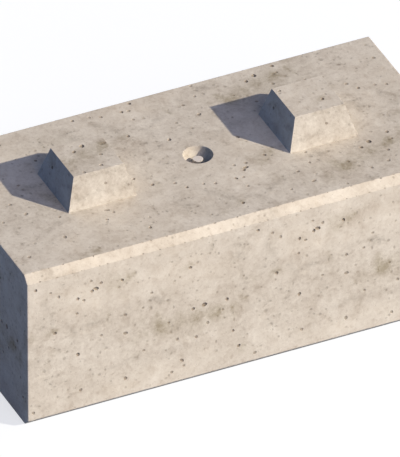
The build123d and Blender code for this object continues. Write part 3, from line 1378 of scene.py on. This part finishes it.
        # Painted shade on the bowl's shaded side: bluish by its amount, and grey in the marks' grey
        # channel.
        bowl = slots == self.bowl_painted_shade.slot
        skin[bowl] = self.bowl_painted_shade.density(spots[bowl])
        marks[bowl, :3] = skin[bowl, None] * (0.0, self.bowl_painted_shade.grey, 0.0)
        layer = mesh.attributes.new(self.finish.marks, "FLOAT_COLOR", "CORNER")
        layer.data.foreach_set("color", marks.ravel())
        layer = mesh.attributes.new(self.finish.skin, "FLOAT", "CORNER")
        layer.data.foreach_set("value", skin)
        mesh.polygons.foreach_set("material_index", np.zeros(len(middles), np.int32))

    def build(self) -> bpy.types.Object:
        """Builds, cuts, paints and dresses the casting.

        Returns:
            The finished object.
        """
        sizes, plan = self.sizes, FacePlan(self.sizes)
        faces = plan.faces()
        base = self.body().mesh("bar")
        for _ in range(self.bowl_painted_shade.slot + 1):
            base.data.materials.append(None)
        tools = []
        for middle in sizes.middles:
            stud = self.pyramid(middle, 0.0, sizes.body_height, sizes.stud_top)
            socket = self.pyramid(middle, sizes.socket_clearance, 0, sizes.socket_depth)
            tools += [(stud.mesh("stud"), "UNION"), (socket.mesh("socket"), "DIFFERENCE")]
        cutters = [("bowl", self.bowl(), self.bowl_painted_shade.slot)]
        random = np.random.default_rng(self.pores.seed)
        for grade in Grade:
            shown = [face for face in faces if grade in face.grades]
            blobs = [self.pores.cutters(face, grade, random) for face in shown]
            cutters.append((grade.name.lower(), Surface.joined(blobs), grade.slot))
        chips = [self.chips.cutters(*arris, random) for arris in plan.arrises()]
        # Chips take the medium pores' slot, and so their dirt and painted shade.
        cutters.append(("chips", Surface.joined(chips), Grade.MEDIUM.slot))
        tools += [(surface.mesh(name, slot), "DIFFERENCE") for name, surface, slot in cutters]
        mesh = self.cut(base, tools)
        self.paint(mesh, faces)
        for face in faces:
            LOG.info("%s: %d pores", face.name, self.pores.count(face))
        mesh.materials.clear()
        mesh.materials.append(self.finish.material())
        mesh.polygons.foreach_set("use_smooth", np.ones(len(mesh.polygons), bool))
        mesh.set_sharp_from_angle(angle=math.radians(self.smooth))
        mesh.name = "cast_block"
        block = linked("cast_block", mesh)
        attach(block, "root")
        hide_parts("concrete_block")
        return block


@dataclass(frozen=True)
class Lamp:
    """A sun lamp.

    Its light comes from its origin and gives a white surface that faces it the colour of
    its level. It takes up its spread of the sky, in degrees.
    """

    name: str
    origin: Point
    level: Colour
    spread: float

    def build(self) -> None:
        """Adds the lamp to the scene."""
        data = bpy.data.lights.new(self.name, "SUN")
        data.energy = math.pi * max(self.level)
        data.color = tuple(part / max(self.level) for part in self.level)
        data.angle = math.radians(self.spread)
        linked(self.name, data).rotation_euler = Vector(self.origin).to_track_quat("Z", "Y").to_euler()


@dataclass(frozen=True)
class Studio:
    """Pale floor, white background, one low sun, two soft fills and the camera.

    The sky is the dim light from all round. The camera sees the floor's glow and the
    lamps' light on its shade, and the light that it throws back has the bounce's colour.
    The lens is in millimetres. The azimuth and the elevation are in degrees.
    """

    sun: Lamp = Lamp("sun", (0.664, -0.577, 0.476), (1.22, 1.11, 0.89), 1.0)
    fill: Lamp = Lamp("fill", (0.08, -0.85, 0.52), (0.252, 0.23, 0.24), 50.0)
    back_fill: Lamp = Lamp("back_fill", (0.25, 0.85, 0.45), (0.030, 0.038, 0.055), 50.0)
    sky: Colour = (0.070, 0.102, 0.195)
    white: Colour = (1.0, 1.0, 1.0)
    floor_bounce: Colour = (0.13, 0.19, 0.30)
    floor_glow: float = 0.68
    floor_shade: Colour = (0.40, 0.42, 0.46)
    floor_reach: float = 12.0
    floor_drop: float = 0.0003
    lens: float = 1500.0
    azimuth: float = -25.05
    elevation: float = 35.52
    distance: float = 62.67
    target: Point = (0.0059, -0.0043, 0.3027)
    far: float = 1000.0

    def floor(self) -> None:
        """Lays the floor, nearly white to the camera and with a dim bounce."""
        sheet = NodeSheet(bpy.data.materials.new("floor"))
        glow = sheet.add("Emission", {"Color": self.white, "Strength": self.floor_glow})
        shade = sheet.add("BsdfDiffuse", {"Color": self.floor_shade})
        bounce = sheet.add("BsdfDiffuse", {"Color": self.floor_bounce})
        shown = sheet.add("AddShader", {0: glow.outputs[0], 1: shade.outputs[0]})
        inputs = {0: sheet.seen_directly(), 1: bounce.outputs[0], 2: shown.outputs[0]}
        corners = np.insert(self.floor_reach * SQUARE, 2, -self.floor_drop, axis=1)
        floor = Surface(corners, np.arange(4)[None]).mesh("floor")
        floor.data.materials.append(sheet.finish(sheet.add("MixShader", inputs)))

    def background(self) -> None:
        """Sets a white background that lights the object as a dim sky."""
        sheet = NodeSheet(bpy.data.worlds.new("studio"), "OutputWorld")
        sky, white = (sheet.add("Background", {"Color": colour}) for colour in (self.sky, self.white))
        inputs = {0: sheet.seen_directly(), 1: sky.outputs[0], 2: white.outputs[0]}
        bpy.context.scene.world = sheet.finish(sheet.add("MixShader", inputs))

    def camera(self) -> None:
        """Sets the camera far off, with a long lens, at the object's viewing angle."""
        turn, tilt = math.radians(self.azimuth), math.radians(self.elevation)
        back = Vector(
            (math.sin(turn) * math.cos(tilt), -math.cos(turn) * math.cos(tilt), math.sin(tilt))
        )
        data = bpy.data.cameras.new("camera")
        data.lens, data.clip_end = self.lens, self.far
        made = linked("camera", data)
        made.location = Vector(self.target) + self.distance * back
        made.rotation_euler = back.to_track_quat("Z", "Y").to_euler()
        bpy.context.scene.camera = made

    def build(self) -> None:
        """Sets up the floor, background, lamps and camera."""
        self.floor()
        self.background()
        for lamp in (self.sun, self.fill, self.back_fill):
            lamp.build()
        self.camera()
        bpy.context.scene.view_settings.view_transform = "Standard"


@dataclass
class LiftingAnchor:
    """The cast-in anchor, whose own mesh stays and gets its finish."""

    finish: AnchorFinish = field(default_factory=AnchorFinish)

    def build(self) -> bpy.types.Object:
        """Dresses the anchor's node in dusty steel.

        Returns:
            The node's object.
        """
        node = frame["nodes"]["lifting_anchor"]
        node.data.materials.clear()
        node.data.materials.append(self.finish.material())
        return node


def main() -> None:
    """Builds the studio, the casting and the anchor."""
    logging.basicConfig(level=logging.INFO, format="%(message)s")
    Studio().build()
    for piece in (ConcreteBlock(BlockSizes.from_frame()).build(), LiftingAnchor().build()):
        mesh = piece.data
        mesh.calc_loop_triangles()
        LOG.info("%s: %d triangles", piece.name, len(mesh.loop_triangles))


if __name__ == "__main__":
    main()
